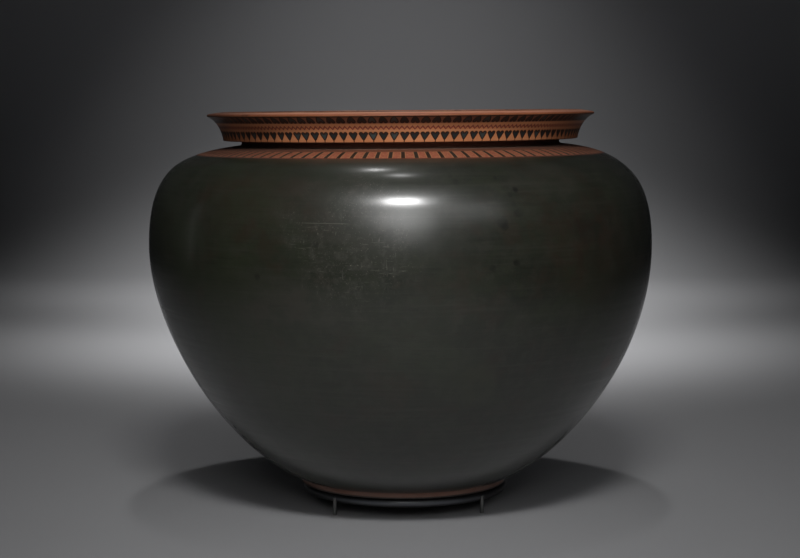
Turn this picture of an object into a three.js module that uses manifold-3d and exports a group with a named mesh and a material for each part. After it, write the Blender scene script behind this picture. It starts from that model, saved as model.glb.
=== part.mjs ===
// A dinos: a round-bottomed mixing bowl of fired clay on a low metal ring with four pegs.
// Millimetres, +Z up. The floor is z = 0 and the origin lies under the widest part of the bowl.
// The front of the bowl faces -Y.

import * as THREE from 'three';
import { mergeVertices } from 'three/addons/utils/BufferGeometryUtils.js';
import Module from 'manifold-3d';

// The bowl's body
const BELLY_RADIUS = 250;
const BELLY_HEIGHT = 259;
const BELLY_TO_BASE = 91; // how far the belly stays upright below its widest line
const BELLY_TO_SHOULDER = 70; // and above it
const WALL = 8;

// The flat disc under the body, with its bare clay edge
const BASE_RADIUS = 103;
const BASE_UNDERSIDE = 20.9;
const BASE_TOP = 26;
const BASE_WALL_PULL = 81; // length of the straight run of the wall where it leaves the base
const BASE_WALL_ANGLE = 22.5; // degrees, that run's rise
const FLOOR_THICKNESS = 10;

// The shoulder and the short neck
const NECK_RADIUS = 157.8;
const NECK_FILLET = 3.2;
const SHOULDER_TOP = 358.7;
const SHOULDER_PULL = 64.4;
const SHOULDER_ANGLE = 6.3; // degrees, the shoulder's fall where it leaves the neck

// The rim: a moulded collar with a hollow outer face and a lip that overhangs it
const RIM_FOOT_RADIUS = 176;
const RIM_FOOT_HEIGHT = 363.8;
const RIM_UNDERCUT = 1.4;
const RIM_HOLLOW_RADIUS = 179.3;
const RIM_HOLLOW_HEIGHT = 381.5;
const LIP_RADIUS = 192.1;
const LIP_UNDERSIDE = 387.2;
const LIP_TOP = 389.9;
const CROWN_RADIUS = 176.5;
const CROWN_HEIGHT = 392.2;
const MOUTH_RADIUS = 172;
const MOUTH_HEIGHT = 388.6;

// What the hand left uneven: the body's axis drifts below the belly, and the mouth tips
const BASE_DRIFT = 2.6;
const DRIFT_ENDS = [130, 262];
const MOUTH_TIP = 0.0085; // rise towards +X, as a slope
const TIP_STARTS = [335, 357];

// The ring under the base, and the pegs let into its outer side
const RING_RADIUS = 98.4; // to the middle of its round bar
const RING_BAR_RADIUS = 4.3;
const RING_HEIGHT = 16.3; // of the middle of the bar
const RING_OFFSET = 4.2; // towards +X: the bowl isn't set quite in the middle
const PEG_COUNT = 4;
const PEG_RADIUS = 2;
const PEG_HEIGHT = 17;
const PEG_CHAMFER = 0.3;
const PEG_CIRCLE_RADIUS = 101.6;
const PEG_TURN = 3; // degrees that the four pegs are turned from the diagonals
const FIT_GAP = 0.3;

// How finely round shapes are faceted
const BOWL_SIDES = 64;
const RING_SIDES = 48;
const BAR_SIDES = 12;
const PEG_SIDES = 12;
const WALL_STEPS = 12;
const INSIDE_STEPS = 8;

const { MathUtils } = THREE;
const point = (radius, height) => new THREE.Vector2(radius, height);

// A point at a distance and an angle in degrees from another
const polar = (from, distance, degrees) => {
  const angle = MathUtils.degToRad(degrees);
  return point(from.x + distance * Math.cos(angle), from.y + distance * Math.sin(angle));
};

// The wall's outer line, from the base up to the belly and from the belly up to the neck
function bodyCurves() {
  const base = point(BASE_RADIUS, BASE_TOP);
  const belly = point(BELLY_RADIUS, BELLY_HEIGHT);
  const neck = point(NECK_RADIUS + NECK_FILLET, SHOULDER_TOP);
  const lower = new THREE.CubicBezierCurve(
    base,
    polar(base, BASE_WALL_PULL, BASE_WALL_ANGLE),
    point(BELLY_RADIUS, BELLY_HEIGHT - BELLY_TO_BASE),
    belly,
  );
  const upper = new THREE.CubicBezierCurve(
    belly,
    point(BELLY_RADIUS, BELLY_HEIGHT + BELLY_TO_SHOULDER),
    polar(neck, SHOULDER_PULL, -SHOULDER_ANGLE),
    neck,
  );
  return { lower, upper };
}

// The same line one wall thickness further in
function insideOf(curve, steps) {
  return curve.getPoints(steps).map((outer, i) => {
    const along = curve.getTangent(i / steps);
    return point(outer.x - WALL * along.y, outer.y + WALL * along.x);
  });
}

// Half the bowl's section, from the axis round the outside and back over the lip to the axis
function bowlSection() {
  const { lower, upper } = bodyCurves();
  const edge = 1.2; // rounding of the base's lower edge
  const underside = [
    point(0, BASE_UNDERSIDE),
    point(BASE_RADIUS - edge, BASE_UNDERSIDE),
    point(BASE_RADIUS, BASE_UNDERSIDE + edge),
  ];
  const neckFoot = new THREE.QuadraticBezierCurve(
    point(NECK_RADIUS + NECK_FILLET, SHOULDER_TOP),
    point(NECK_RADIUS, SHOULDER_TOP),
    point(NECK_RADIUS, SHOULDER_TOP + NECK_FILLET),
  );
  const rimFace = new THREE.QuadraticBezierCurve(
    point(RIM_FOOT_RADIUS, RIM_FOOT_HEIGHT + edge),
    point(RIM_HOLLOW_RADIUS, RIM_HOLLOW_HEIGHT),
    point(LIP_RADIUS - edge, LIP_UNDERSIDE),
  );
  const lip = [
    point(LIP_RADIUS, (LIP_UNDERSIDE + LIP_TOP) / 2),
    point(LIP_RADIUS - edge, LIP_TOP),
  ];
  const crown = new THREE.QuadraticBezierCurve(
    point(CROWN_RADIUS + 2 * edge, CROWN_HEIGHT - edge / 4),
    point(MOUTH_RADIUS + edge, CROWN_HEIGHT + edge / 4),
    point(MOUTH_RADIUS, MOUTH_HEIGHT),
  );
  const throat = new THREE.QuadraticBezierCurve(
    point(MOUTH_RADIUS, MOUTH_HEIGHT),
    point(NECK_RADIUS - WALL, RIM_FOOT_HEIGHT + WALL),
    point(NECK_RADIUS - WALL, SHOULDER_TOP),
  );
  const inside = [
    ...insideOf(upper, INSIDE_STEPS).reverse(),
    ...insideOf(lower, INSIDE_STEPS).reverse().slice(1),
  ];
  return [
    ...underside,
    ...lower.getPoints(WALL_STEPS),
    ...upper.getPoints(WALL_STEPS).slice(1),
    ...neckFoot.getPoints(2).slice(1),
    point(NECK_RADIUS, RIM_FOOT_HEIGHT + RIM_UNDERCUT),
    point(RIM_FOOT_RADIUS - edge, RIM_FOOT_HEIGHT),
    ...rimFace.getPoints(5),
    ...lip,
    ...crown.getPoints(3),
    ...throat.getPoints(3).slice(1),
    ...inside,
    point(0, BASE_UNDERSIDE + FLOOR_THICKNESS),
  ];
}

// A lathe turns about its own Y axis: stand it up along Z
function turned(section, sides) {
  return new THREE.LatheGeometry(section, sides).rotateX(Math.PI / 2);
}

// Let the axis drift and the mouth tip, as a bowl thrown by hand does
function unevenByHand(geometry) {
  const place = geometry.getAttribute('position');
  for (let i = 0; i < place.count; i += 1) {
    const x = place.getX(i);
    const z = place.getZ(i);
    const settled = MathUtils.smoothstep(z, ...DRIFT_ENDS);
    const tipped = MathUtils.smoothstep(z, ...TIP_STARTS);
    place.setX(i, x + BASE_DRIFT * (1 - settled));
    place.setZ(i, z + MOUTH_TIP * x * tipped);
  }
  geometry.computeVertexNormals();
  return geometry;
}

function makeBowl() {
  const fired = new THREE.MeshStandardMaterial({
    color: 0x24271f,
    roughness: 0.3,
    metalness: 0,
  });
  const bowl = new THREE.Mesh(unevenByHand(turned(bowlSection(), BOWL_SIDES)), fired);
  bowl.name = 'dinos';
  return bowl;
}

// Closed solids for the cuts
const wasm = await Module();
wasm.setup();

function toSolid(geometry) {
  const bare = geometry.clone();
  bare.deleteAttribute('normal');
  bare.deleteAttribute('uv');
  const merged = mergeVertices(bare, 1e-4);
  return new wasm.Manifold(
    new wasm.Mesh({
      numProp: 3,
      vertProperties: merged.getAttribute('position').array,
      triVerts: new Uint32Array(merged.index.array),
    }),
  );
}

function toGeometry(solid) {
  const mesh = solid.getMesh();
  const geometry = new THREE.BufferGeometry();
  geometry.setAttribute('position', new THREE.BufferAttribute(mesh.vertProperties, 3));
  geometry.setIndex(new THREE.BufferAttribute(mesh.triVerts, 1));
  geometry.computeVertexNormals();
  return geometry;
}

// Where peg number n stands, measured from the ring's middle
function pegPlace(n) {
  const angle = MathUtils.degToRad(45 + PEG_TURN + (360 / PEG_COUNT) * n);
  return [PEG_CIRCLE_RADIUS * Math.cos(angle), PEG_CIRCLE_RADIUS * Math.sin(angle)];
}

// The ring is one round bar, with a notch in its outer side for each peg
function makeRing() {
  const circle = Array.from({ length: BAR_SIDES + 1 }, (_, i) => {
    const step = (i % BAR_SIDES) * (360 / BAR_SIDES);
    return polar(point(RING_RADIUS, RING_HEIGHT), RING_BAR_RADIUS, step);
  });
  let ring = toSolid(turned(circle, RING_SIDES));
  const notchTop = PEG_HEIGHT + FIT_GAP;
  for (let n = 0; n < PEG_COUNT; n += 1) {
    const notch = new THREE.CylinderGeometry(
      PEG_RADIUS + FIT_GAP,
      PEG_RADIUS + FIT_GAP,
      notchTop,
      PEG_SIDES,
    );
    notch.rotateX(Math.PI / 2);
    notch.translate(...pegPlace(n), notchTop / 2);
    ring = ring.subtract(toSolid(notch));
  }
  const black = new THREE.MeshStandardMaterial({
    color: 0x121315,
    roughness: 0.25,
    metalness: 0.1,
  });
  const mesh = new THREE.Mesh(toGeometry(ring), black);
  mesh.name = 'support_ring';
  return mesh;
}

// A peg stands on its flat end, with both ends chamfered
function makePeg(n) {
  const section = [
    point(0, 0),
    point(PEG_RADIUS - PEG_CHAMFER, 0),
    point(PEG_RADIUS, PEG_CHAMFER),
    point(PEG_RADIUS, PEG_HEIGHT - PEG_CHAMFER),
    point(PEG_RADIUS - PEG_CHAMFER, PEG_HEIGHT),
    point(0, PEG_HEIGHT),
  ];
  const steel = new THREE.MeshStandardMaterial({
    color: 0x9b9b97,
    roughness: 0.4,
    metalness: 0.9,
  });
  const peg = new THREE.Mesh(turned(section, PEG_SIDES), steel);
  const corners = ['back_right', 'back_left', 'front_left', 'front_right'];
  peg.name = `peg_${corners[n]}`;
  peg.position.set(...pegPlace(n), 0);
  return peg;
}

function makeStand() {
  const stand = new THREE.Group();
  stand.add(makeRing());
  for (let n = 0; n < PEG_COUNT; n += 1) stand.add(makePeg(n));
  stand.position.x = RING_OFFSET;
  return stand;
}

const dinosOnRing = new THREE.Group();
dinosOnRing.add(makeBowl(), makeStand());

export default dinosOnRing;
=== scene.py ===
# %% [markdown]
# # A black dinos on its display ring
#
# A dinos is a big round mixing bowl with no foot of its own. This one is thrown in orange clay,
# covered with a black slip that fires to a gloss, and left bare at the rim for painted leaves and
# tongues. It stands on a low black ring with four steel pegs. The solids with the true sizes are
# already packed as a fixed frame. This lesson loads them, makes finer skins over them and gives
# every surface its finish, so we begin with the frame and read the sizes off it.

# %% Load the frame
import math

import bmesh
import bpy
import numpy as np
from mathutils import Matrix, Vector


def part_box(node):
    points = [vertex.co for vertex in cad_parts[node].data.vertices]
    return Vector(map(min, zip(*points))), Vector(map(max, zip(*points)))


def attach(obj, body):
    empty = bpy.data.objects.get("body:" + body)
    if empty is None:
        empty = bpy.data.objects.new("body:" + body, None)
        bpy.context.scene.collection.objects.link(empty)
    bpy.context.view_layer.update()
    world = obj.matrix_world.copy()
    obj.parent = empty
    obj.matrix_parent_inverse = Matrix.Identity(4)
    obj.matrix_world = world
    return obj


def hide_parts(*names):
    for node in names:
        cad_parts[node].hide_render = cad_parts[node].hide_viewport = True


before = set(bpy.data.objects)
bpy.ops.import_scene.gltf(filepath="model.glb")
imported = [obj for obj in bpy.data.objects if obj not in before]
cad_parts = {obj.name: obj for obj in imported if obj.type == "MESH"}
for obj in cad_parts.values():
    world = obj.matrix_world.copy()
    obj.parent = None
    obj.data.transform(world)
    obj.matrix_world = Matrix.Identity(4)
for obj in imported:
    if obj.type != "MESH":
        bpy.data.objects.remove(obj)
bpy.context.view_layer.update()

MM = 0.001
bowl_low, bowl_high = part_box("dinos")
ring_low, ring_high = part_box("support_ring")
print("the bowl is", [round(v / MM) for v in bowl_high - bowl_low], "mm")

# %% [markdown]
# ## The camera
#
# The picture was taken with a long lens from just above the height of the rim: the lip shows as a
# thin line and the ring as a flat ellipse. A camera in Blender is placed by its distance, its
# height and its tilt. All three come from those ellipses, and the lens from the bowl's width in
# the picture, so nothing has to be shifted or cropped afterwards.

# %% Set up the camera
PICTURE_WIDTH, PICTURE_HEIGHT = 800, 558
SENSOR_WIDTH = 36.0
FOCAL_PIXELS = 1860.0
CAMERA_DISTANCE = 1.860
CAMERA_HEIGHT = 0.3986
HORIZON_PIXEL = 104.0
AXIS_PIXEL = 400.4

camera_tilt = math.atan((PICTURE_HEIGHT / 2 - HORIZON_PIXEL) / FOCAL_PIXELS)
camera_side = (PICTURE_WIDTH / 2 - AXIS_PIXEL) / FOCAL_PIXELS * CAMERA_DISTANCE
camera_data = bpy.data.cameras.new("camera")
camera_data.sensor_width = SENSOR_WIDTH
camera_data.lens = FOCAL_PIXELS / PICTURE_WIDTH * SENSOR_WIDTH
camera = bpy.data.objects.new("camera", camera_data)
camera.location = (camera_side, -CAMERA_DISTANCE, CAMERA_HEIGHT)
camera.rotation_euler = (math.pi / 2 - camera_tilt, 0, 0)
bpy.context.scene.collection.objects.link(camera)
bpy.context.scene.camera = camera
print("lens", round(camera_data.lens, 1), "mm, tilted down", round(math.degrees(camera_tilt), 2))

# %% [markdown]
# ## The bowl's outline
#
# A potter pulls the wall up in one sweep, so two smooth curves are enough for the body: one from
# the base to the belly and one from the belly to the neck. The rim is a collar with a hollow
# face. Every outline here is a list of short runs, each a line or a Bezier curve, in millimetres
# from the axis and above the floor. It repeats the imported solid's form with many more points, so
# that reflections slide over it without a facet.

# %% Curves for an outline
def run(*handles, steps=1):
    """Points along a Bezier curve of any degree; two handles make a straight line."""
    along = np.linspace(0, 1, steps + 1)[:, None]
    level = [np.array(handle, float)[None, :] for handle in handles]
    while len(level) > 1:
        level = [a + (b - a) * along for a, b in zip(level, level[1:])]
    return level[0]


def reach(start, length, degrees):
    """The point at a distance and an angle from another."""
    turn = math.radians(degrees)
    return start[0] + length * math.cos(turn), start[1] + length * math.sin(turn)


def joined(*runs):
    """One outline out of runs that meet end to end."""
    return np.concatenate([runs[0]] + [piece[1:] for piece in runs[1:]])


# %% Outline of the bowl, outside and inside
BELLY = (250.0, 259.0)
BASE = (103.0, 26.0)
BASE_UNDERSIDE = bowl_low.z / MM
NECK_RADIUS, NECK_FILLET, SHOULDER_TOP = 157.8, 3.2, 358.7
NECK_FOOT = (NECK_RADIUS + NECK_FILLET, SHOULDER_TOP)
RIM_FOOT = (176.0, 363.8)
LIP_RADIUS, LIP_UNDERSIDE, LIP_TOP = 192.1, 387.2, 389.9
BASE_DRIFT, DRIFT_ENDS = 2.6, (130, 262)
MOUTH_TIP, TIP_STARTS = 0.0085, (335, 357)
CROWN_RADIUS = 177.5
CROWN = (CROWN_RADIUS, bowl_high.z / MM - MOUTH_TIP * (CROWN_RADIUS + 2))
MOUTH = (172.0, 388.6)
WALL = 8.0
EDGE = 1.2

# How far each curve runs straight on from its ends, and at what angle it leaves the base and neck
BASE_PULL, BASE_ANGLE, BELLY_TO_BASE = 81, 22.5, 91
SHOULDER_PULL, SHOULDER_ANGLE, BELLY_TO_SHOULDER = 64.4, 6.3, 70
base_handle = reach(BASE, BASE_PULL, BASE_ANGLE)
shoulder_handle = reach(NECK_FOOT, SHOULDER_PULL, -SHOULDER_ANGLE)
lower_wall = run(BASE, base_handle, (BELLY[0], BELLY[1] - BELLY_TO_BASE), BELLY, steps=70)
upper_wall = run(BELLY, (BELLY[0], BELLY[1] + BELLY_TO_SHOULDER), shoulder_handle, NECK_FOOT, steps=56)

NECK_TOP, UNDERCUT_HEIGHT = 362, 365.2
RIM_HOLLOW = (179.3, 381.5)
THROAT_BEND = 372
ROLL_STEPS = 7
FLOOR_DIP, FLOOR_EASE = 2.4, 30


def base_outline():
    """The underside and the rounded edge of the flat disc under the wall."""
    under = run((0, BASE_UNDERSIDE), (BASE[0] - EDGE, BASE_UNDERSIDE), steps=8)
    corner = (BASE[0], BASE_UNDERSIDE)
    edge = run(under[-1], corner, (BASE[0], BASE_UNDERSIDE + EDGE), steps=3)
    return joined(under, edge, run(edge[-1], BASE, steps=2))


def rim_outline():
    """The neck, the rim's underside and hollow face, the lip and its top up to the crown."""
    neck = run(NECK_FOOT, (NECK_RADIUS, SHOULDER_TOP), (NECK_RADIUS, NECK_TOP), steps=5)
    undercut = (NECK_RADIUS, UNDERCUT_HEIGHT)
    underside = run(neck[-1], undercut, (RIM_FOOT[0] - EDGE, RIM_FOOT[1]), steps=6)
    corner = run(underside[-1], RIM_FOOT, (RIM_FOOT[0] + 0.1, RIM_FOOT[1] + EDGE), steps=3)
    face = run(corner[-1], RIM_HOLLOW, (LIP_RADIUS - EDGE, LIP_UNDERSIDE), steps=22)
    lip_side = (LIP_RADIUS + 0.4, LIP_UNDERSIDE + 0.5)
    lip_corner = (LIP_RADIUS + 0.3, LIP_TOP - 0.3)
    lip = run(face[-1], lip_side, lip_corner, (LIP_RADIUS - EDGE, LIP_TOP), steps=6)
    top = run(lip[-1], (CROWN[0] + 6, CROWN[1] - 0.4), CROWN, steps=8)
    return joined(neck, underside, corner, face, lip, top)


def inside_outline():
    """From the crown over the mouth, down the throat and one wall thickness inside the wall."""
    roll = run(CROWN, (MOUTH[0] + 1, CROWN[1]), MOUTH, steps=ROLL_STEPS)
    throat_width = NECK_RADIUS - WALL
    throat = run(MOUTH, (throat_width, THROAT_BEND), (throat_width, SHOULDER_TOP), steps=12)
    wall = np.concatenate([lower_wall, upper_wall[1:]])[::-3]
    along = np.gradient(wall, axis=0)
    along /= np.linalg.norm(along, axis=1)[:, None]
    wall = wall + WALL * np.stack([along[:, 1], -along[:, 0]], axis=1)
    corner, floor_height = wall[-1], wall[-1][1] - FLOOR_DIP
    floor = run(corner, (corner[0] - FLOOR_EASE, floor_height), (0, floor_height), steps=8)
    return joined(roll, throat, np.concatenate([throat[-1:], wall]), floor)


outside = joined(base_outline(), lower_wall, upper_wall, rim_outline())
inside = inside_outline()
print("outline of", len(outside), "points outside and", len(inside), "inside")

# %% [markdown]
# ## Turning an outline
#
# The wheel does what a lathe does: it repeats the outline round the axis. Blender has a Screw
# modifier for this, but a mesh written straight from the outline keeps control of the poles and
# of which faces get which finish, so the lesson writes its own.

# %% Turn an outline into a mesh
def turned(name, outline, sides, closed=False):
    """A mesh turned round the Z axis, in metres. Points on the axis become single vertices."""
    angles = np.linspace(0, 2 * math.pi, sides, endpoint=False)
    vertices, rings = [], []
    for radius, height in outline:
        start = len(vertices)
        if radius < 1e-6:
            vertices.append((0, 0, height * MM))
            rings.append([start] * sides)
            continue
        for angle in angles:
            x, y = radius * math.sin(angle), -radius * math.cos(angle)
            vertices.append((x * MM, y * MM, height * MM))
        rings.append(list(range(start, start + sides)))
    faces = []
    for below, above in zip(rings, rings[1:] + ([rings[0]] if closed else [])):
        for i in range(sides):
            j = (i + 1) % sides
            corners = [below[i], below[j], above[j], above[i]]
            faces.append(list(dict.fromkeys(corners)))
    mesh = bpy.data.meshes.new(name)
    mesh.from_pydata(vertices, [], faces)
    mesh.shade_smooth()
    mesh.validate()
    piece = bpy.data.objects.new(name, mesh)
    bpy.context.scene.collection.objects.link(piece)
    return piece


# %% [markdown]
# ## The unevenness of the hand
#
# A bowl this size sags a little as it dries. In the picture its lower body sits to the right of
# the belly and its mouth tips up to the right by half a degree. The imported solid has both. The
# finer skin repeats them and adds the slow waves that the fingers leave in the wall, which are
# what makes a highlight on real pottery look soft and wandering rather than ruled.

# %% Make the bowl
BOWL_SIDES = 300
WAVE_DEPTH, WAVE_STARTS = 0.22, (40, 90)
FINGER_WAVES = ((2, 61, 0), (3, -43, 1), (5, 29, 2))  # waves round, their slant in mm, their start


def eased(value, low, high):
    """0 below low, 1 above high, and smooth between."""
    t = np.clip((value - low) / (high - low), 0, 1)
    return t * t * (3 - 2 * t)


def uneven_by_hand(mesh):
    """Moves a turned mesh's points as drying and the potter's fingers did."""
    place = np.zeros(len(mesh.vertices) * 3)
    mesh.vertices.foreach_get("co", place)
    place = place.reshape(-1, 3) / MM
    x, y, z = place.T.copy()
    turn = np.arctan2(x, -y)
    wave = sum(np.sin(count * turn + z / slant + start) for count, slant, start in FINGER_WAVES)
    most = len(FINGER_WAVES)
    shrink = 1 - WAVE_DEPTH * (most + wave) / (2 * most) / BELLY[0] * eased(z, *WAVE_STARTS)
    place[:, 0] = x * shrink + BASE_DRIFT * (1 - eased(z, *DRIFT_ENDS))
    place[:, 1] = y * shrink
    place[:, 2] = z + MOUTH_TIP * x * eased(z, *TIP_STARTS)
    mesh.vertices.foreach_set("co", (place * MM).ravel())
    mesh.update()


bowl = turned("dinos_bowl", np.concatenate([outside, inside[1:]]), BOWL_SIDES)
uneven_by_hand(bowl.data)
print("the bowl has", len(bowl.data.polygons), "faces")

# %% [markdown]
# ## Shader maths in plain expressions
#
# The painted bands repeat round the bowl, so they are worked out from each point's place: how far
# round it lies, how far out and how far up. Written with nodes by hand that is hundreds of boxes
# and wires. A small class makes it readable: it holds one socket, and adding or multiplying it
# lays down the Math node. Colours never pass through a Math node, because it turns them grey.

# %% A socket that can be calculated with
class Flow:
    """One value, colour or vector on its way through a material."""

    def __init__(self, finish, socket):
        self.finish = finish
        self.socket = socket

    def __add__(self, other):
        return self.finish.maths("ADD", self, other)

    def __sub__(self, other):
        return self.finish.maths("SUBTRACT", self, other)

    def __rsub__(self, other):
        return self.finish.maths("SUBTRACT", other, self)

    def __mul__(self, other):
        return self.finish.maths("MULTIPLY", self, other)

    def __truediv__(self, other):
        return self.finish.maths("DIVIDE", self, other)

    def __rtruediv__(self, other):
        return self.finish.maths("DIVIDE", other, self)

    def __pow__(self, other):
        return self.finish.maths("POWER", self, other)

    def __neg__(self):
        return self * -1

    def __abs__(self):
        return self.finish.maths("ABSOLUTE", self)

    __radd__ = __add__
    __rmul__ = __mul__


# %% A finish under construction
class Finish:
    """A material, and the one method that adds any node to it."""

    def __init__(self, name):
        self.material = bpy.data.materials.new(name)
        self.material.use_nodes = True
        self.tree = self.material.node_tree
        self.tree.nodes.clear()

    def add(self, kind, settings=None, sockets=None, out=0):
        """Adds a node: its settings first, then its sockets, by number or name."""
        node = self.tree.nodes.new(kind)
        for name, value in (settings or {}).items():
            setattr(node, name, value)
        for name, value in (sockets or {}).items():
            if isinstance(value, Flow):
                self.tree.links.new(value.socket, node.inputs[name])
            else:
                node.inputs[name].default_value = value
        return Flow(self, node.outputs[out]) if node.outputs else node

    def maths(self, operation, *terms):
        """A Math node; its terms are values or numbers."""
        return self.add("ShaderNodeMath", {"operation": operation}, dict(enumerate(terms)))

    def least(self, a, b):
        """The smaller of two values, which is where two masks overlap."""
        return self.maths("MINIMUM", a, b)

    def most(self, a, b):
        """The larger of two values, which is two masks laid together."""
        return self.maths("MAXIMUM", a, b)

    def place(self):
        """Where a point lies on the piece, in metres from the piece's own origin."""
        return self.add("ShaderNodeTexCoord", out="Object")

    def axes(self, place):
        """A place taken apart into its x, y and z."""
        x = self.add("ShaderNodeSeparateXYZ", None, {0: place}, out="X")
        return [Flow(self, x.socket.node.outputs[name]) for name in "XYZ"]

    def smooth(self, value, low, high):
        """0 where the value is under low, 1 over high; low may be the larger, to turn it round."""
        sockets = {"Value": value, "From Min": low, "From Max": high}
        return self.add("ShaderNodeMapRange", {"interpolation_type": "SMOOTHSTEP"}, sockets)

    def between(self, value, low, high, soft):
        """1 between two limits, with soft edges."""
        rise = self.smooth(value, low - soft, low + soft)
        return rise * self.smooth(value, high + soft, high - soft)

    def blend(self, mask, under, over):
        """Lays one colour over another where the mask is 1."""
        sockets = {0: mask, 6: under, 7: over}
        return self.add("ShaderNodeMix", {"data_type": "RGBA"}, sockets, out=2)

    def stretch(self, place, x, y, z):
        """A place scaled along each axis, so that a noise drawn on it runs in streaks."""
        sockets = {0: place, 1: (x, y, z)}
        return self.add("ShaderNodeVectorMath", {"operation": "MULTIPLY"}, sockets)

    def noise(self, place, scale, detail=3.0, roughness=0.55):
        """A cloudy value about 0.5; a larger scale makes smaller clouds."""
        sockets = {"Vector": place, "Scale": scale, "Detail": detail, "Roughness": roughness}
        return self.add("ShaderNodeTexNoise", None, sockets)

    def bump(self, height, strength, distance):
        """A shallow relief, too fine to be worth real points."""
        sockets = {"Strength": strength, "Distance": distance, "Height": height}
        return self.add("ShaderNodeBump", None, sockets)

    def close(self, sockets):
        """The last two nodes: the surface's shader and the output."""
        shader = self.add("ShaderNodeBsdfPrincipled", None, sockets)
        self.add("ShaderNodeOutputMaterial", None, {"Surface": shader})
        return self.material


def colour(red, green, blue):
    """A colour as the eye reads it, from 0 to 255, turned into light."""
    light = []
    for value in (red / 255, green / 255, blue / 255):
        light.append(value / 12.92 if value <= 0.04045 else ((value + 0.055) / 1.055) ** 2.4)
    return (*light, 1)


# %% [markdown]
# ## Where a mark lies on the bowl
#
# Old slip is never even: this bowl has brown and olive clouds, worn specks and scratches, each in
# its own place. The picture gives those places as pixels. Casting a ray from the camera through a
# pixel until it meets the outline gives the angle and the height on the clay, so a mark stays put
# when the camera moves.

# %% From a pixel to the clay
RAY_REACH, RAY_STEPS = (1.4, 2.0), 6001
BELLY_PIXEL = (AXIS_PIXEL, 243)


def place_on_bowl(across, down):
    """The turn (radians from the front) and the height (mm) of a pixel on the bowl."""
    ahead = Vector((0, math.cos(camera_tilt), -math.sin(camera_tilt)))
    upward = Vector((0, math.sin(camera_tilt), math.cos(camera_tilt)))
    ray = ahead + Vector((1, 0, 0)) * ((across - PICTURE_WIDTH / 2) / FOCAL_PIXELS)
    ray = ray + upward * ((PICTURE_HEIGHT / 2 - down) / FOCAL_PIXELS)
    travel = np.linspace(*RAY_REACH, RAY_STEPS)[:, None]
    points = (np.array(camera.location)[None, :] + travel * np.array(ray)[None, :]) / MM
    wall = np.concatenate([lower_wall, upper_wall[1:]])
    radius = np.interp(points[:, 2], wall[:, 1], wall[:, 0], left=0, right=0)
    hit = np.argmax(np.hypot(points[:, 0], points[:, 1]) < radius)
    return math.atan2(points[hit, 0], -points[hit, 1]), points[hit, 2]


belly_turn, belly_height = place_on_bowl(*BELLY_PIXEL)
print("the middle of the belly: turn", round(belly_turn, 3), "height", round(belly_height, 1), "mm")

# %% [markdown]
# ## Coordinates for the painter
#
# The painter turns the bowl on the wheel and holds the brush still: each line is a height or a
# radius, and each leaf is a step round. The same three numbers serve here. The mouth tips, so the
# height is levelled first, or the bands would run off the rim.

# %% The painter's coordinates
PER_METRE = 1000  # millimetres


def painter(finish):
    """turn (radians from the front), out (mm from the axis), up (mm, levelled) and the place."""
    place = finish.place()
    x, y, z = finish.axes(place)
    height = z * PER_METRE
    tipped = finish.smooth(height, *TIP_STARTS)
    up = height - x * (MOUTH_TIP * PER_METRE) * tipped
    out = (x * x + y * y) ** 0.5 * PER_METRE
    turn = finish.maths("ARCTAN2", x, -y)
    return place, turn, out, up


# %% [markdown]
# ## A leaf
#
# The leaves are small hearts, each two touches of the brush and a pulled tip. As a shape that is
# two round lobes and a wedge under them. Inside, the slip is thin and greyish; at the outline it
# is thick and brown. Each cell round the rim gets a random number of its own that shifts, leans
# and widens its leaf, because no two strokes of a hand are alike.

# %% Paint a row of leaves
LEAF_COUNT = 120
LEAF_PHASE = 0.862
LEAF_DRIFT = -0.0394
HEART, DOME = 0.75, 0.5  # how full the wedge is: hearts below, rounder domes above

# A leaf's shape, in parts of its cell's width and of the row's height
LEAF_LEAN, LEAF_SHIFT, LEAF_SPREAD = 0.08, 0.03, 0.06
WEDGE_WIDTH, WEDGE_TOP, WEDGE_END, WEDGE_SLOPE = 0.45, 0.76, 0.82, 1.2
LOBE_SIDE, LOBE_WIDTH, LOBE_MIDDLE, LOBE_HEIGHT, LOBE_DEPTH = 0.22, 0.235, 0.78, 0.22, 0.2
STALK_WIDTH, STALK_TOP = 0.055, 0.32
print("a leaf every", 360 / LEAF_COUNT, "degrees")


def steps_round(finish, turn, count, phase, drift=0):
    """Cuts the way round into cells: the place across a cell (-0.5 to 0.5) and the cell's number."""
    uneven = turn + drift * finish.maths("COSINE", turn)
    steps = uneven * (count / (2 * math.pi)) + phase
    cell = finish.maths("FLOOR", steps)
    return steps - cell - 0.5, cell


def chance(finish, cell, seed):
    """A random number from -1 to 1 for each cell."""
    sockets = {"W": cell + seed}
    raw = finish.add("ShaderNodeTexWhiteNoise", {"noise_dimensions": "1D"}, sockets)
    return raw * 2 - 1


def leaf(finish, across, along, cell, seed, fullness):
    """How deep inside a leaf a point lies: along runs from 0 at the tip to 1 at the lobes."""
    lean = chance(finish, cell, seed) * LEAF_LEAN
    shift = chance(finish, cell, seed + 7.3) * LEAF_SHIFT
    width = 1 + chance(finish, cell, seed + 3.1) * LEAF_SPREAD
    side = abs(across - shift - lean * (along - 0.5)) / width
    wedge = WEDGE_WIDTH * finish.most(along / WEDGE_TOP, 0.0) ** fullness - side
    wedge = finish.least(wedge, (WEDGE_END - along) * WEDGE_SLOPE)
    lobe_across = (side - LOBE_SIDE) / LOBE_WIDTH
    lobe_along = (along - LOBE_MIDDLE) / LOBE_HEIGHT
    lobe = (1 - (lobe_across * lobe_across + lobe_along * lobe_along) ** 0.5) * LOBE_DEPTH
    stalk = finish.least(STALK_WIDTH - side, STALK_TOP - along)
    return finish.most(finish.most(wedge, lobe), stalk)


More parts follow.
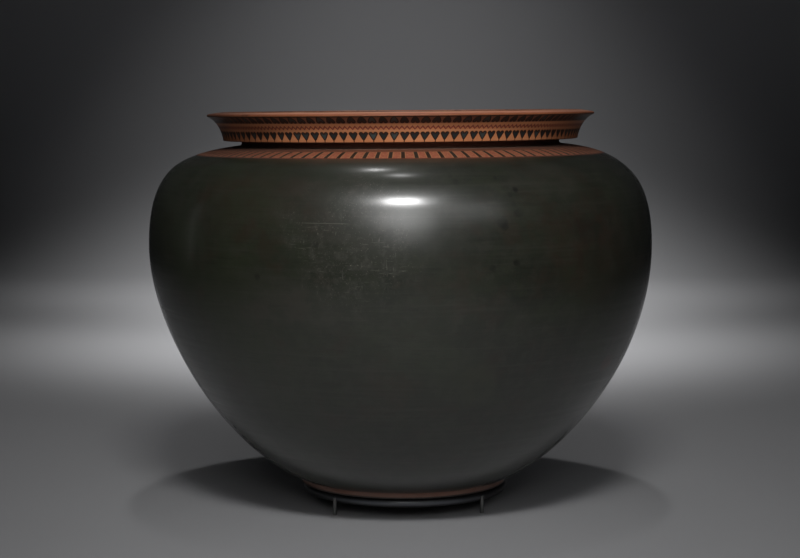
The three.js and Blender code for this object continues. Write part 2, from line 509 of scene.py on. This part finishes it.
# %% [markdown]
# ## The orange clay and the black slip
#
# Bare clay is orange-brown, with grain and a slight polish. The slip is nearly black, olive to the
# left and brown in patches where it is thin. A photograph of slip laid over the wall would show
# its seams from behind, so both are drawn in layers of noise: broad clouds first, then blotches
# and fine streaks that follow the wheel. They feed the base colour, the roughness and a shallow
# bump, which an exported material keeps.

# %% Colours of the bowl
CLAY = colour(226, 149, 100)
STRIPE_CLAY_AND_PAINTED_LIGHT = colour(238, 166, 118)
CLAY_DARK = colour(158, 96, 62)
CLAY_PALE = colour(226, 168, 128)
CLAY_LIP = colour(200, 126, 92)
CLAY_LIP_PALE_AND_HIGHLIGHT = colour(240, 186, 158)
CLAY_LIP_SIDE = colour(156, 92, 60)
CLAY_SMOKED = colour(116, 68, 46)
NECKSIDE_PAINTED_LIGHT = colour(168, 132, 112)
CLAY_FOOT = colour(124, 94, 82)
SIDE_SHADE = colour(52, 34, 26)
SLIP = colour(34, 37, 29)
SLIP_OLIVE = colour(47, 52, 37)
SLIP_BROWN = colour(50, 38, 29)
SLIP_THIN = colour(57, 56, 49)
SLIP_RED = colour(84, 44, 34)
SLIP_PIT = colour(14, 13, 11)
SLIP_WORN = colour(150, 148, 138)
STROKE_EDGE_AND_SHADE = colour(50, 24, 14)
STROKE_CORE = colour(38, 48, 50)
STROKE_CORE_THIN = colour(78, 92, 92)
UNDER_LIP_PAINTED_SHADE = colour(132, 94, 78)
ADDED_RED = colour(140, 58, 56)
LINE_RED = colour(84, 40, 32)
TONGUE_RED = colour(158, 76, 58)
TONGUE_PALE = colour(182, 124, 84)
TONGUE_DARK = colour(44, 26, 8)
TONGUE_GREY = colour(42, 36, 26)
NECK_PAINTED_REFLECTION = colour(176, 120, 102)
FOOT_SHADE = colour(48, 42, 38)


def clay_texture(finish, place, out):
    """How much darker and paler the clay is, as two masks."""
    cloud = finish.noise(place, 38.0)
    grain = finish.noise(place, 900.0, 2.0)
    x, y, z = finish.axes(place)
    rings = {0: out * 0.8, 1: x * 14, 2: z * 800}
    streak = finish.noise(finish.add("ShaderNodeCombineXYZ", None, rings), 1.0)
    dark = finish.smooth(cloud, 0.35, 0.7) * 0.3 + finish.smooth(grain, 0.6, 0.75) * 0.3
    pale = finish.smooth(streak, 0.45, 0.75)
    return dark, pale


def one_side(finish, turn, start, full):
    """1 on one side of the bowl, from start to full, and fading out again at the back."""
    return finish.smooth(turn, start, full) * finish.smooth(abs(turn), 3.0, 2.2)


def slip_colour(finish, place, turn):
    """The slip without its marks: black, with olive, thin and brown layers, and dark brush lines."""
    cloud = finish.noise(place, 9.0, 4.0)
    streak = finish.noise(finish.stretch(place, 6, 6, 300), 1.0)
    mottle = finish.noise(place, 70.0, 5.0, 0.7)
    brushed = finish.noise(finish.stretch(place, 30, 30, 420), 1.0, 4.0, 0.65)
    grain = finish.noise(place, 620.0, 2.0)
    left = one_side(finish, turn, 0.5, -0.6) * 0.35
    base = finish.blend(finish.smooth(cloud, 0.42, 0.68) * 0.45 + left, SLIP, SLIP_OLIVE)
    base = finish.blend(finish.smooth(mottle, 0.4, 0.68) * 0.4, base, SLIP_THIN)
    base = finish.blend(finish.smooth(brushed, 0.48, 0.36) * 0.22, base, SLIP_PIT)
    blotch = finish.noise(place, 30.0, 5.0, 0.7)
    base = finish.blend(finish.smooth(blotch, 0.5, 0.66) * 0.35, base, SLIP_BROWN)
    base = finish.blend(finish.smooth(blotch, 0.48, 0.34) * 0.35, base, SLIP_OLIVE)
    base = finish.blend(finish.smooth(streak, 0.5, 0.76) * 0.4, base, SLIP_THIN)
    return finish.blend(finish.smooth(grain, 0.55, 0.75) * 0.35, base, SLIP_BROWN)


# %% [markdown]
# ## The painted bands, from the lip down
#
# On the rim's hollow face: a row of leaves under the lip, with painted shade on the clay between
# them and a dark line of painted shade under the lip, a plain stripe painted paler to stand in for
# light, a zigzag in added red, a fine line, and a larger row of leaves with their tips down.
# Painting them on an image would need the wall unwrapped without a stretch; as sums of the
# painter's coordinates they stay sharp at any size. Each band is a height between two edges, and
# each colour is laid over the one before.

# %% Paint the rim
UPPER_LEAVES, UPPER_ROW_STARTS = (183.2, 191.4), 380.6
ZIGZAG_HEIGHT, ZIGZAG_SWING, ZIGZAG_THICKNESS = 377.4, 1.25, 0.8
STRIPE = (378.8, 381.4)
FINE_LINE_HEIGHT = 375.0
LOWER_LEAVES, LOWER_ROW = (365.5, 373.9), (364.3, 375.0)
LIP_SHADE = (387.0, 388.2)
LIP_HIGHLIGHT_MIDDLE, LIP_LINE, LIP_SIDE, CROWN_MARKS_RADIUS = 185.5, 189.6, (190.8, 191.6), 178.2


def paint_leaf_row(finish, under, depth, inside_band, core_colour):
    """Leaves with a thick brown outline and a thinner, greyish inside."""
    painted = finish.smooth(depth, -0.012, 0.03) * inside_band
    core = finish.smooth(depth, 0.08, 0.19)
    return finish.blend(painted, under, finish.blend(core, STROKE_EDGE_AND_SHADE, core_colour))


def paint_face(finish, under, across, cell, out, up):
    """The hollow face: leaves, stripe, zigzag, fine line and leaves, with painted shade under the lip.
    """
    low, high = LOWER_LEAVES
    depth = leaf(finish, across, (up - low) / (high - low), cell, 0.5, HEART)
    thin = finish.smooth(chance(finish, cell, 21.3), -0.2, 0.9) * 0.7
    core = finish.blend(thin, STROKE_CORE, STROKE_CORE_THIN)
    layer = paint_leaf_row(finish, under, depth, finish.between(up, *LOWER_ROW, 0.1), core)
    # the plain stripe, painted paler to stand in for light that the lip's shadow keeps off
    layer = finish.blend(finish.between(up, *STRIPE, 0.4) * 0.8, layer, STRIPE_CLAY_AND_PAINTED_LIGHT)
    near, far = UPPER_LEAVES
    # painted shade: the clay under the lip's overhang is darkened to a greyish mauve
    layer = finish.blend(finish.between(up, STRIPE[1], LIP_SHADE[1], 0.3) * 0.85, layer, UNDER_LIP_PAINTED_SHADE)
    depth = leaf(finish, across, (far - out) / (far - near), cell, 40.5, DOME)
    row = finish.between(up, UPPER_ROW_STARTS, LIP_SHADE[1], 0.1)
    layer = paint_leaf_row(finish, layer, depth, row, core)
    # painted shade: a dark line right under the lip
    layer = finish.blend(finish.between(up, *LIP_SHADE, 0.25) * 0.85, layer, STROKE_EDGE_AND_SHADE)
    swing = finish.maths("PINGPONG", across + 0.5, 0.25) * 8 - 1
    zigzag = abs(up - ZIGZAG_HEIGHT - swing * ZIGZAG_SWING)
    drawn = finish.smooth(zigzag, ZIGZAG_THICKNESS + 0.4, ZIGZAG_THICKNESS - 0.3) * 0.9
    layer = finish.blend(drawn, layer, ADDED_RED)
    line = finish.smooth(abs(up - FINE_LINE_HEIGHT), 0.5, 0.15)
    return finish.blend(line * 0.5, layer, CLAY_PALE)


def paint_lip(finish, place, pale, out):
    """The top of the rim: bare clay, with a painted highlight along its middle and a red line at its
    edge.
    """
    layer = finish.blend(pale * 0.6, CLAY_LIP, CLAY_LIP_PALE_AND_HIGHLIGHT)
    # painted highlight along the middle of the lip's top
    layer = finish.blend(finish.smooth(abs(out - LIP_HIGHLIGHT_MIDDLE), 3.6, 0.6) * 0.5, layer, CLAY_LIP_PALE_AND_HIGHLIGHT)
    layer = finish.blend(finish.smooth(abs(out - LIP_LINE), 1.0, 0.3) * 0.7, layer, ADDED_RED)
    layer = finish.blend(finish.smooth(out, *LIP_SIDE), layer, CLAY_LIP_SIDE)
    patches = finish.noise(place, 26.0, 3.0)
    stain = finish.smooth(patches, 0.60, 0.68)
    stain = stain * finish.smooth(finish.noise(place, 240.0, 2.0), 0.42, 0.55)
    # dark ragged marks along the crown, in patches
    ring_highlight_and_crown_marks = finish.smooth(abs(out - CROWN_MARKS_RADIUS), 1.6, 0.6) * finish.smooth(patches, 0.46, 0.58)
    return finish.blend(finish.most(stain, ring_highlight_and_crown_marks) * 0.8, layer, STROKE_EDGE_AND_SHADE)


# %% [markdown]
# ## The shoulder's belt
#
# Round the neck the slip was wiped away: a greyish band of clay, painted paler inside the rim's
# shadow to stand in for the light that the shadow keeps off, a thin red line, and a belt of
# tongues in black and red with the clay between them. A tongue is a stripe across its cell, so
# here the radius says where the belt lies and the step round says where a tongue does.

# %% Paint the shoulder
TONGUE_COUNT = 106
TONGUE_PHASE = 0.27
TONGUES = (181.4, 200.2)
SHOULDER_BAND = (159.4, 202.4)
RED_LINE, RIM_SHADOW_ENDS = 171.2, (170, 173)
print("a tongue every", round(360 / TONGUE_COUNT, 2), "degrees")


def paint_shoulder(finish, place, pale, turn, out):
    """Wiped band with painted light by the neck, red line, tongues and the line that ends the belt."""
    across, cell = steps_round(finish, turn, TONGUE_COUNT, TONGUE_PHASE)
    side = abs(across + chance(finish, cell, 11.7) * 0.04)
    brushed = finish.noise(finish.stretch(place, 420, 420, 20), 1.0, 2.0)
    belt = finish.between(out, *TONGUES, 0.5)
    # painted light: the clay inside the rim's shadow, next to the neck, is paler
    layer = finish.blend(finish.smooth(out, *RIM_SHADOW_ENDS), NECKSIDE_PAINTED_LIGHT, CLAY_SMOKED)
    layer = finish.blend(pale * 0.35, layer, CLAY_DARK)
    layer = finish.blend(finish.smooth(abs(out - RED_LINE), 1.3, 0.5) * 0.85, layer, LINE_RED)
    layer = finish.blend(belt, layer, TONGUE_PALE)
    red = finish.smooth(side, 0.19, 0.24) * (0.35 + finish.smooth(brushed, 0.38, 0.6) * 0.65)
    layer = finish.blend(red * belt * 0.9, layer, TONGUE_RED)
    tone = finish.smooth(chance(finish, cell, 5.1), -0.3, 0.9)
    tone = finish.blend(tone, TONGUE_DARK, TONGUE_GREY)
    layer = finish.blend(finish.smooth(side, 0.175, 0.135) * belt, layer, tone)
    edge_line = finish.smooth(abs(out - TONGUES[1] - 1.2), 1.1, 0.4)
    return finish.blend(edge_line * 0.85, layer, LINE_RED)


# %% [markdown]
# ## What time did to the slip
#
# The wall carries soft dark spots, olive, brown and thin clouds, a small red misfired patch, and a
# worn field in front with pale specks, short scratches and one long scratch along the wheel. They
# could be painted by hand on a texture; here each is an entry with its pixel, its size and its
# strength, so another bowl would only need another list. A noise bends every outline, because a
# clean ellipse would look like a sticker.

# %% Marks of age
PITS = [(450, 176, 2.6, 0.6), (456, 182, 3.2, 0.8), (495, 178, 2.4, 0.6), (516, 190, 3.0, 0.8)]
PITS += [(510, 195, 2.6, 0.5), (513, 204, 3.0, 0.5), (518, 212, 5.0, 0.7), (502, 222, 5.6, 0.8)]
PITS += [(505, 227, 4.0, 0.6), (493, 268, 3.6, 0.7), (517, 263, 3.4, 0.7), (316, 244, 3.0, 0.5)]
PITS += [(257, 277, 3.2, 0.5), (470, 206, 2.0, 0.4), (585, 229, 14.0, 0.3), (592, 262, 13.0, 0.25)]
CLOUDS = [
    (272, 302, 66, 30, SLIP_THIN, 0.6),
    (592, 240, 50, 56, SLIP_BROWN, 0.5),
    (345, 215, 70, 50, SLIP_THIN, 0.5),
    (545, 178, 45, 16, SLIP_THIN, 0.4),
    (250, 205, 70, 40, SLIP_BROWN, 0.35),
    (470, 385, 34, 26, SLIP_OLIVE, 0.6),
    (605, 362, 8, 10, SLIP_RED, 0.6),
]
WEAR_PLACE, WEAR_SIZE = (352, 240), (66, 66)
LONG_SCRATCH = ((304, 223), (346, 223))
PIXEL_SIZE = 0.88  # millimetres on the wall
print("marks:", len(CLOUDS), "clouds and", len(PITS), "spots")


def patch(finish, turn, up, pixel, size, bend):
    """1 inside an ellipse round a pixel's place on the wall, fading to 0 at its edge."""
    angle, height = place_on_bowl(*pixel)
    across = (turn - angle) * (BELLY[0] / PIXEL_SIZE / size[0] * math.cos(angle)) + bend
    upward = (up - height) * (1 / PIXEL_SIZE / size[1]) - bend
    return finish.smooth(across * across + upward * upward, 1.6, 0.1)


def add_wear(finish, skin, place, turn, up, broad):
    """Pale specks, short scratches, a haze between them and the long scratch."""
    worn = patch(finish, turn, up, WEAR_PLACE, WEAR_SIZE, broad)
    speck = finish.smooth(finish.noise(place, 620.0, 3.0, 0.75), 0.60, 0.72)
    level = finish.noise(finish.stretch(place, 70, 70, 900), 1.0, 2.0)
    upright = finish.noise(finish.stretch(place, 800, 800, 60), 1.0, 2.0)
    scratch = finish.smooth(finish.most(level, upright), 0.66, 0.76)
    haze = finish.smooth(finish.noise(place, 120.0, 4.0, 0.7), 0.45, 0.75)
    line_start, line_height = place_on_bowl(*LONG_SCRATCH[0])
    line_end = place_on_bowl(*LONG_SCRATCH[1])[0]
    line = finish.smooth(abs(up - line_height), 0.5, 0.1)
    line = line * finish.between(turn, line_start, line_end, 0.02)
    mask = worn * (speck * 0.6 + scratch * 0.45 + haze * 0.14) + line * 0.35
    return finish.blend(finish.least(mask * 0.6, 1.0), skin, SLIP_WORN)


def add_marks(finish, skin, place, turn, up):
    """The slip with its clouds, its spots and its wear."""
    broad = (finish.noise(place, 22.0, 3.0) - 0.5) * 1.6
    fine = (finish.noise(place, 120.0, 2.0) - 0.5) * 1.4
    mottle = finish.smooth(finish.noise(place, 60.0, 4.0, 0.65), 0.35, 0.65)
    for across, down, wide, high, tone, strength in CLOUDS:
        mask = patch(finish, turn, up, (across, down), (wide, high), broad)
        skin = finish.blend(mask * (0.35 + mottle * 0.65) * strength, skin, tone)
    for across, down, size, strength in PITS:
        mask = patch(finish, turn, up, (across, down), (size, size), fine)
        skin = finish.blend(mask * (0.4 + mottle * 0.6) * strength, skin, SLIP_PIT)
    return add_wear(finish, skin, place, turn, up, broad)


# %% [markdown]
# ## The outside as one finish
#
# The wall, the bands and the base are one skin, so they share one material, and masks say which
# paint shows where. Several materials on one mesh would do it too, but they change at a face's
# edge, and a brush's edge is ragged. The painted clay is darkened to the left and right of the
# front with painted shade, where the light falls off towards the sides, and on the lip's left end;
# behind, where both sides would meet, that shade fades out again.

# %% Zones of the outside
TOP_OF_RIM, LIP_LEVEL = (388.1, 388.5), (388.0, 388.6)
RIM_STARTS, CROWN_LEVEL, CROWN_EDGE = (364.0, 364.5), (385.0, 387.0), (174.4, 173.4)
NECK_ZONE = (355.5, 364.2)
SHOULDER_STARTS, SHOULDER_ENDS = (344, 345), (363.0, 362.6)
BARE_EDGE, UNDERSIDE = (27.6, 27.0), (23.0, 22.2)
FOOT_TINGE = (27, 42)


def zones(finish, out, up, ragged):
    """Masks of the rim, the neck, the shoulder's band and the bare base, with ragged edges."""
    past_crown = finish.smooth(out + ragged, *CROWN_EDGE) * finish.smooth(up, *CROWN_LEVEL)
    on_rim = finish.smooth(up, *RIM_STARTS) * (1 - past_crown)
    on_neck = finish.between(up, *NECK_ZONE, 0.2)
    on_neck = on_neck * finish.smooth(out, SHOULDER_BAND[0] + 0.6, SHOULDER_BAND[0] - 0.6)
    band_end = SHOULDER_BAND[1] - ragged * 0.6
    on_shoulder = finish.smooth(up, *SHOULDER_STARTS) * finish.smooth(up, *SHOULDER_ENDS)
    on_shoulder = on_shoulder * finish.smooth(out - band_end, 0.4, -0.4)
    on_base = finish.smooth(up + ragged * 0.3, *BARE_EDGE)
    return on_rim, on_neck, on_shoulder, on_base


def painted_side_shade(finish, turn, up, on_shoulder):
    """How much painted shade darkens the painted clay: at both sides, on the shoulder away from the
    front and on the lip's left end.
    """
    shaded = one_side(finish, turn, -0.4, -1.05) * 0.4 + one_side(finish, turn, 0.5, 1.2) * 0.4
    shaded = shaded + on_shoulder * finish.smooth(abs(turn), 0.1, 0.6) * 0.2
    return shaded + finish.smooth(up, *LIP_LEVEL) * one_side(finish, turn, -0.7, -1.3) * 0.35


def paint_base(finish, up, dark, pale):
    """The bare clay of the base, greyer underneath."""
    foot = finish.blend(dark + pale * 0.3, CLAY_FOOT, CLAY_SMOKED)
    return finish.blend(finish.smooth(up, *UNDERSIDE) * 0.9, foot, FOOT_SHADE)


# %% Shine of the outside
def shine(finish, place, bare, on_shoulder):
    """The slip shines in streaks under a thin coat, and the bare clay is duller."""
    streak = finish.noise(finish.stretch(place, 5, 5, 260), 1.0, 4.0)
    cloud = finish.noise(place, 14.0, 3.0)
    slip_rough = 0.42 + (streak - 0.5) * 0.12 + (cloud - 0.5) * 0.12
    roughness = slip_rough + bare * (0.5 - slip_rough) + on_shoulder * 0.3
    coat = (1 - bare) * finish.smooth(streak, 0.1, 0.4)
    ridge = finish.noise(finish.stretch(place, 3, 3, 110), 1.0, 3.0)
    grain = finish.noise(place, 700.0, 2.0)
    bump = finish.bump(ridge + grain * 0.05, 0.12, 0.0012)
    return {"Roughness": roughness, "Coat Weight": coat, "Coat Roughness": 0.2, "Normal": bump}


# %% Put the outside together
def outside_finish():
    """Slip, marks, painted bands and bare base, each laid over the one before."""
    finish = Finish("painted_slip")
    place, turn, out, up = painter(finish)
    ragged = (finish.noise(place, 160.0, 2.0) - 0.5) * 1.2
    dark, pale = clay_texture(finish, place, out)
    clay = finish.blend(dark, finish.blend(pale * 0.4, CLAY, CLAY_PALE), CLAY_DARK)
    slip = add_marks(finish, slip_colour(finish, place, turn), place, turn, up)
    across, cell = steps_round(finish, turn, LEAF_COUNT, LEAF_PHASE, LEAF_DRIFT)
    rim = paint_face(finish, clay, across, cell, out, up)
    rim = finish.blend(finish.smooth(up, *TOP_OF_RIM), rim, paint_lip(finish, place, pale, out))
    on_rim, on_neck, on_shoulder, on_base = zones(finish, out, up, ragged)
    painted = finish.most(on_rim, on_shoulder)

    skin = finish.blend(on_shoulder, slip, paint_shoulder(finish, place, pale, turn, out))
    # painted reflection: the neck is painted pale reddish brown for the lit shoulder's glow in its
    # shade
    skin = finish.blend(on_neck, skin, NECK_PAINTED_REFLECTION)
    skin = finish.blend(on_rim, skin, rim)
    # painted shade darkens the painted clay at the sides
    skin = finish.blend(painted * painted_side_shade(finish, turn, up, on_shoulder), skin, SIDE_SHADE)
    tinge = finish.between(up, *FOOT_TINGE, 4) * one_side(finish, turn, -0.8, -1.3)
    skin = finish.blend(tinge * 0.5, skin, SLIP_RED)
    skin = finish.blend(on_base, skin, paint_base(finish, up, dark, pale))
    bare = finish.most(painted, on_base)
    return finish.close({"Base Color": skin, **shine(finish, place, bare, on_shoulder)})


# %% [markdown]
# ## Inside the bowl
#
# The inside is slipped black all over. It has the outside's colours without the marks, and streaks
# that a brush leaves where nobody polishes. It is a second material on the same mesh, and the
# change lies in the throat, where no edge shows.

# %% The inside's finish
def inside_finish():
    """Plain streaky slip."""
    finish = Finish("inside_slip")
    place, turn = painter(finish)[:2]
    skin = slip_colour(finish, place, turn)
    streak = finish.noise(finish.stretch(place, 4, 4, 160), 1.0, 4.0)
    roughness = 0.34 + (streak - 0.5) * 0.2
    bump = finish.bump(streak, 0.15, 0.0015)
    return finish.close({"Base Color": skin, "Roughness": roughness, "Normal": bump})


for skin_finish in (outside_finish(), inside_finish()):
    bowl.data.materials.append(skin_finish)
    print(skin_finish.name, "has", len(skin_finish.node_tree.nodes), "nodes")
inner_start = (len(outside) + ROLL_STEPS - 1) * BOWL_SIDES
for face in bowl.data.polygons:
    face.material_index = int(min(face.vertices) >= inner_start)
print("faces with the inside finish:", sum(f.material_index for f in bowl.data.polygons))

# %% [markdown]
# ## The ring and its pegs
#
# The ring is one round bar, painted gloss black, and the pegs are short steel pins let into
# notches in its outer side. Turned outlines make both again, and a boolean cuts the notches, so
# that the steel sits in the paint as it does in the solids.

# %% Make the ring
RING_OFFSET = (ring_low.x + ring_high.x) / 2 / MM
BAR_RADIUS = (ring_high.z - ring_low.z) / 2 / MM
RING_HEIGHT = (ring_high.z + ring_low.z) / 2 / MM
RING_RADIUS = (ring_high.x - ring_low.x) / 2 / MM - BAR_RADIUS
BAR_SIDES, RING_SIDES, PEG_SIDES = 32, 240, 40
FIT_GAP = 0.3
peg_names = [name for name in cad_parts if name.startswith("peg_")]


def moved(piece, x, y):
    """Moves a piece's mesh, so that its object stays at the origin."""
    for vertex in piece.data.vertices:
        vertex.co.x += x * MM
        vertex.co.y += y * MM
    return piece


def peg_middle(name):
    """Where a peg stands, in millimetres, read off its solid."""
    low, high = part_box(name)
    return (low.x + high.x) / 2 / MM, (low.y + high.y) / 2 / MM


peg_low, peg_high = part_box(peg_names[0])
PEG_RADIUS = (peg_high.x - peg_low.x) / 2 / MM
PEG_HEIGHT = peg_high.z / MM
PEG_ROUNDING = 0.3
NOTCH_FOOT = 2  # the bar's underside is higher than this
circle = [reach((RING_RADIUS, RING_HEIGHT), BAR_RADIUS, 360 / BAR_SIDES * i) for i in range(BAR_SIDES)]
ring = moved(turned("support_ring_painted", circle, RING_SIDES, closed=True), RING_OFFSET, 0)


def cut_notches(piece):
    """Cuts a round notch for each peg and bakes the result into the mesh."""
    cutters = []
    hole = PEG_RADIUS + FIT_GAP
    top = PEG_HEIGHT + FIT_GAP
    section = [(0, NOTCH_FOOT), (hole, NOTCH_FOOT), (hole, top), (0, top)]
    for name in peg_names:
        cutter = moved(turned("cutter", section, PEG_SIDES), *peg_middle(name))
        modifier = piece.modifiers.new("notch", "BOOLEAN")
        modifier.object = cutter
        modifier.operation = "DIFFERENCE"
        cutters.append(cutter)
    bpy.context.view_layer.update()
    shaped = piece.evaluated_get(bpy.context.evaluated_depsgraph_get())
    piece.data = bpy.data.meshes.new_from_object(shaped)
    piece.modifiers.clear()
    for cutter in cutters:
        bpy.data.objects.remove(cutter)


cut_notches(ring)
print("the ring has", len(ring.data.polygons), "faces")

# %% Make the pegs
def make_peg(name):
    """A pin with its ends rounded over, standing on the floor."""
    flat = PEG_RADIUS - PEG_ROUNDING
    shaft_top = (PEG_RADIUS, PEG_HEIGHT - PEG_ROUNDING)
    foot = run((flat, 0), (PEG_RADIUS, 0), (PEG_RADIUS, PEG_ROUNDING), steps=4)
    head = run(shaft_top, (PEG_RADIUS, PEG_HEIGHT), (flat, PEG_HEIGHT), steps=4)
    section = np.concatenate([[(0, 0)], foot, head, [(0, PEG_HEIGHT)]])
    return moved(turned(name + "_steel", section, PEG_SIDES), *peg_middle(name))


pegs = {name: make_peg(name) for name in peg_names}
print("pegs:", sorted(pegs))

# %% [markdown]
# ## Paint and steel
#
# The ring's paint is black with a little dust, and a painted highlight runs as a grey line along
# the middle of the bar, strongest at its front and back. The pegs are bare steel, brushed along
# their length. Both finishes are short, so they are made like the slip, from noise drawn on the
# place itself.

# %% Finishes of the ring and the pegs
RING_BLACK, RING_BLACK_PALE = colour(14, 14, 16), colour(26, 26, 28)
RING_DUST, RING_PAINTED_HIGHLIGHT = colour(70, 70, 70), colour(118, 121, 128)
STEEL_DARK, STEEL_PALE = colour(88, 88, 88), colour(138, 138, 136)
HIGHLIGHT_HEIGHT = RING_HEIGHT - 0.2
HIGHLIGHT_ENDS = (96, 20)


def ring_finish():
    """Gloss black paint, with a painted highlight along the front and back of the bar."""
    finish = Finish("gloss_black_paint")
    place = finish.place()
    cloud = finish.noise(place, 60.0)
    dust = finish.noise(place, 1400.0, 2.0)
    skin = finish.blend(finish.smooth(cloud, 0.3, 0.7), RING_BLACK, RING_BLACK_PALE)
    skin = finish.blend(finish.smooth(dust, 0.66, 0.8) * 0.5, skin, RING_DUST)
    x, y, z = finish.axes(place)
    # painted highlight: a grey line at the bar's middle height
    ring_highlight_and_crown_marks = finish.smooth(abs(z * PER_METRE - HIGHLIGHT_HEIGHT), 3.0, 0.1)
    ring_highlight_and_crown_marks = ring_highlight_and_crown_marks * finish.smooth(abs(x * PER_METRE - RING_OFFSET), *HIGHLIGHT_ENDS)
    skin = finish.blend(ring_highlight_and_crown_marks * 0.55, skin, RING_PAINTED_HIGHLIGHT)
    roughness = 0.3 + cloud * 0.1
    bump = finish.bump(cloud, 0.04, 0.0002)
    return finish.close({"Base Color": skin, "Roughness": roughness, "Normal": bump})


def peg_finish():
    """Steel brushed along the peg."""
    finish = Finish("bare_steel")
    place = finish.place()
    brushed = finish.noise(finish.stretch(place, 900, 900, 60), 1.0)
    skin = finish.blend(brushed, STEEL_DARK, STEEL_PALE)
    roughness = 0.32 + brushed * 0.2
    return finish.close({"Base Color": skin, "Metallic": 0.85, "Roughness": roughness})


ring.data.materials.clear()
ring.data.materials.append(ring_finish())
steel = peg_finish()
for peg in pegs.values():
    peg.data.materials.append(steel)
print("finishes:", ring.data.materials[0].name, "and", steel.name)

# %% [markdown]
# ## The studio
#
# The floor is one pale sheet that curves up into a low wall, so no line shows behind the bowl. A
# plane with a bevelled back edge would do as well; a short list of points is as quick, and leaves
# the bend's size in plain sight. The wall stands far off and low, so that a camera that walks
# round behind the bowl still has it in view.

# %% Lay the floor
SWEEP_START, SWEEP_RADIUS, WALL_TOP = 2.4, 0.7, 0.8
FLOOR_FRONT, FLOOR_HALF_WIDTH = -4.0, 5.0
PAPER, PAPER_PALE = colour(150, 150, 152), colour(156, 156, 158)


def make_floor():
    """A sheet of paper that lies in front, bends up and ends as a low wall."""
    back = SWEEP_START + SWEEP_RADIUS
    bend = run((SWEEP_START, 0), (back, 0), (back, SWEEP_RADIUS), steps=40)
    flat = run((FLOOR_FRONT, 0), bend[0], steps=8)
    line = joined(flat, bend, run(bend[-1], (back, WALL_TOP), steps=4))
    sheet = bmesh.new()
    edges = []
    for y, z in line:
        edges.append([sheet.verts.new((side * FLOOR_HALF_WIDTH, y, z)) for side in (-1, 1)])
    for near, far in zip(edges, edges[1:]):
        sheet.faces.new((near[0], near[1], far[1], far[0]))
    mesh = bpy.data.meshes.new("floor")
    sheet.to_mesh(mesh)
    sheet.free()
    mesh.shade_smooth()
    floor = bpy.data.objects.new("floor", mesh)
    bpy.context.scene.collection.objects.link(floor)
    return floor


def floor_finish():
    """Dull paper, very slightly cloudy."""
    finish = Finish("pale_paper")
    place = finish.place()
    cloud = finish.noise(place, 2.0)
    fibre = finish.noise(place, 300.0)
    skin = finish.blend(cloud, PAPER, PAPER_PALE)
    return finish.close({"Base Color": skin, "Roughness": 0.75 + fibre * 0.1})


floor = make_floor()
floor.data.materials.append(floor_finish())
print("the floor has", len(floor.data.polygons), "strips, and its wall is", WALL_TOP, "m high")

# %% [markdown]
# ## The light
#
# A glossy black body shows everything around it, so the room stays dim and every lamp has its
# task. A soft box in front and above makes the strong highlight, and a tiny lamp above makes the
# second one on the shoulder. Weak cards lift the wall's lower half and its right side. Spots
# with soft edges light the paper behind the bowl, bright in the middle and dark at the sides.

# %% Hang the lamps
BOWL_FRONT = (0, -0.25, 0.25)
BOWL_FOOT = (0, -0.15, 0.15)
GLOW_SOFTNESS = 0.08
AIR_COLOUR, AIR_STRENGTH = (0.9, 0.95, 1.0, 1), 0.012


def aimed(data, place, aim):
    """Puts a lamp in its place and turns it to what it lights."""
    light = bpy.data.objects.new(data.name, data)
    light.location = place
    light.rotation_euler = (Vector(aim) - Vector(place)).to_track_quat("-Z", "Y").to_euler()
    bpy.context.scene.collection.objects.link(light)
    return light


def soft_box(name, place, aim, size, spread, power):
    """A flat lamp; spread is the angle that its grid lets through."""
    data = bpy.data.lights.new(name, "AREA")
    data.shape = "RECTANGLE"
    data.size, data.size_y = size
    data.spread = math.radians(spread)
    data.energy = power
    return aimed(data, place, aim)


def sheet_glow(name, place, aim, cone, power):
    """A soft-edged spot on the paper behind the bowl."""
    data = bpy.data.lights.new(name, "SPOT")
    data.spot_size = math.radians(cone)
    data.spot_blend = 1.0
    data.shadow_soft_size = GLOW_SOFTNESS
    data.energy = power
    return aimed(data, place, aim)


soft_box("front_box", (0.03, -1.40, 1.42), BOWL_FOOT, (0.38, 0.20), 60, 1.46)
soft_box("under_box", (0.03, -1.92, 1.02), BOWL_FRONT, (1.2, 0.5), 34, 0.31)
soft_box("camera_card", (0.10, -2.30, 0.72), BOWL_FRONT, (1.0, 0.5), 28, 0.07)
soft_box("right_box", (0.95, -1.45, 1.15), (0, -0.05, 0.1), (0.8, 0.6), 60, 0.14)
soft_box("floor_card", (0, -1.35, 1.30), (0, -0.75, 0), (0.8, 0.3), 60, 1.06)
soft_box("hair_light", (-0.13, 0.22, 1.60), (0, -0.15, 0.3), (0.05, 0.05), 40, 0.028)
soft_box("left_strip", (-1.43, 0.22, 0.42), (-0.2, -0.1, 0.3), (0.012, 0.6), 60, 0.003)
sheet_glow("glow_top", (0, 0, 3.2), (0, 0.95, 0), 48, 66)
sheet_glow("glow_near", (0, 1.15, 0.95), (0, 1.2, 0), 84, 37)
sheet_glow("glow_middle", (0, 1.3, 1.2), (0, 1.5, 0), 80, 31)
sheet_glow("glow_far", (0, 1.9, 1.2), (0, 2.2, 0), 84, 70)
sheet_glow("glow_wall", (0, 2.2, 1.6), (0, 2.9, 0.1), 70, 21)
world = bpy.data.worlds.new("studio_air")
world.use_nodes = True
air = world.node_tree.nodes["Background"]
air.inputs["Color"].default_value = AIR_COLOUR
air.inputs["Strength"].default_value = AIR_STRENGTH
bpy.context.scene.world = world
bpy.context.scene.view_settings.view_transform = "Standard"
print("lamps:", len(bpy.data.lights))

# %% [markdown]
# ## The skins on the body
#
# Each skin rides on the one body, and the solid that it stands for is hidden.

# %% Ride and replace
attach(bowl, "root")
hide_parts("dinos")
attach(ring, "root")
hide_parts("support_ring")
for name, peg in pegs.items():
    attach(peg, "root")
    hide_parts(name)
